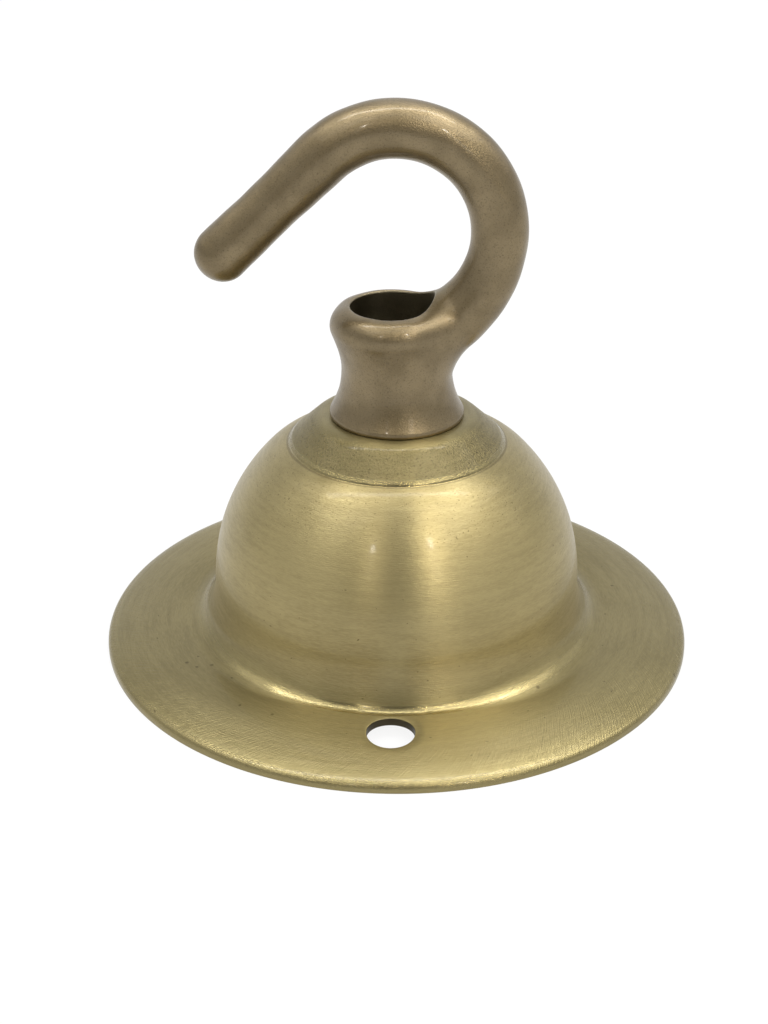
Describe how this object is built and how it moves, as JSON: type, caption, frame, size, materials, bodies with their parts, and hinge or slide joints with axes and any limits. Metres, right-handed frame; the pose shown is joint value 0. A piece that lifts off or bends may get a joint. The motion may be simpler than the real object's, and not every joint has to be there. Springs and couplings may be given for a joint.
{
  "type": "ceiling hook",
  "caption": "Brass ceiling hook: a domed plate with a flange and screw holes carries a cast hook on a hollow waisted neck, for hanging a pendant lamp or chain.",
  "frame": {"origin": "centre of the rim's plane, the face that lies against the ceiling", "axes": "+Z from the ceiling towards the hook, the hook bends in the XZ plane with its tip towards -X, the screw holes lie on the Y axis"},
  "size_m": [0.066, 0.066, 0.0607],
  "materials": {
    "plate_brass": "satin antique brass, brushed round the axis",
    "cast_brass": "satin antique brass casting, finely pitted",
    "nipple_brass": "plain turned brass",
    "nut_brass": "plain turned brass"
  },
  "bodies": {
    "root": {"ceiling_plate": "plate_brass", "hook": "cast_brass", "threaded_nipple": "nipple_brass", "lock_nut": "nut_brass"}
  },
  "joints": []
}
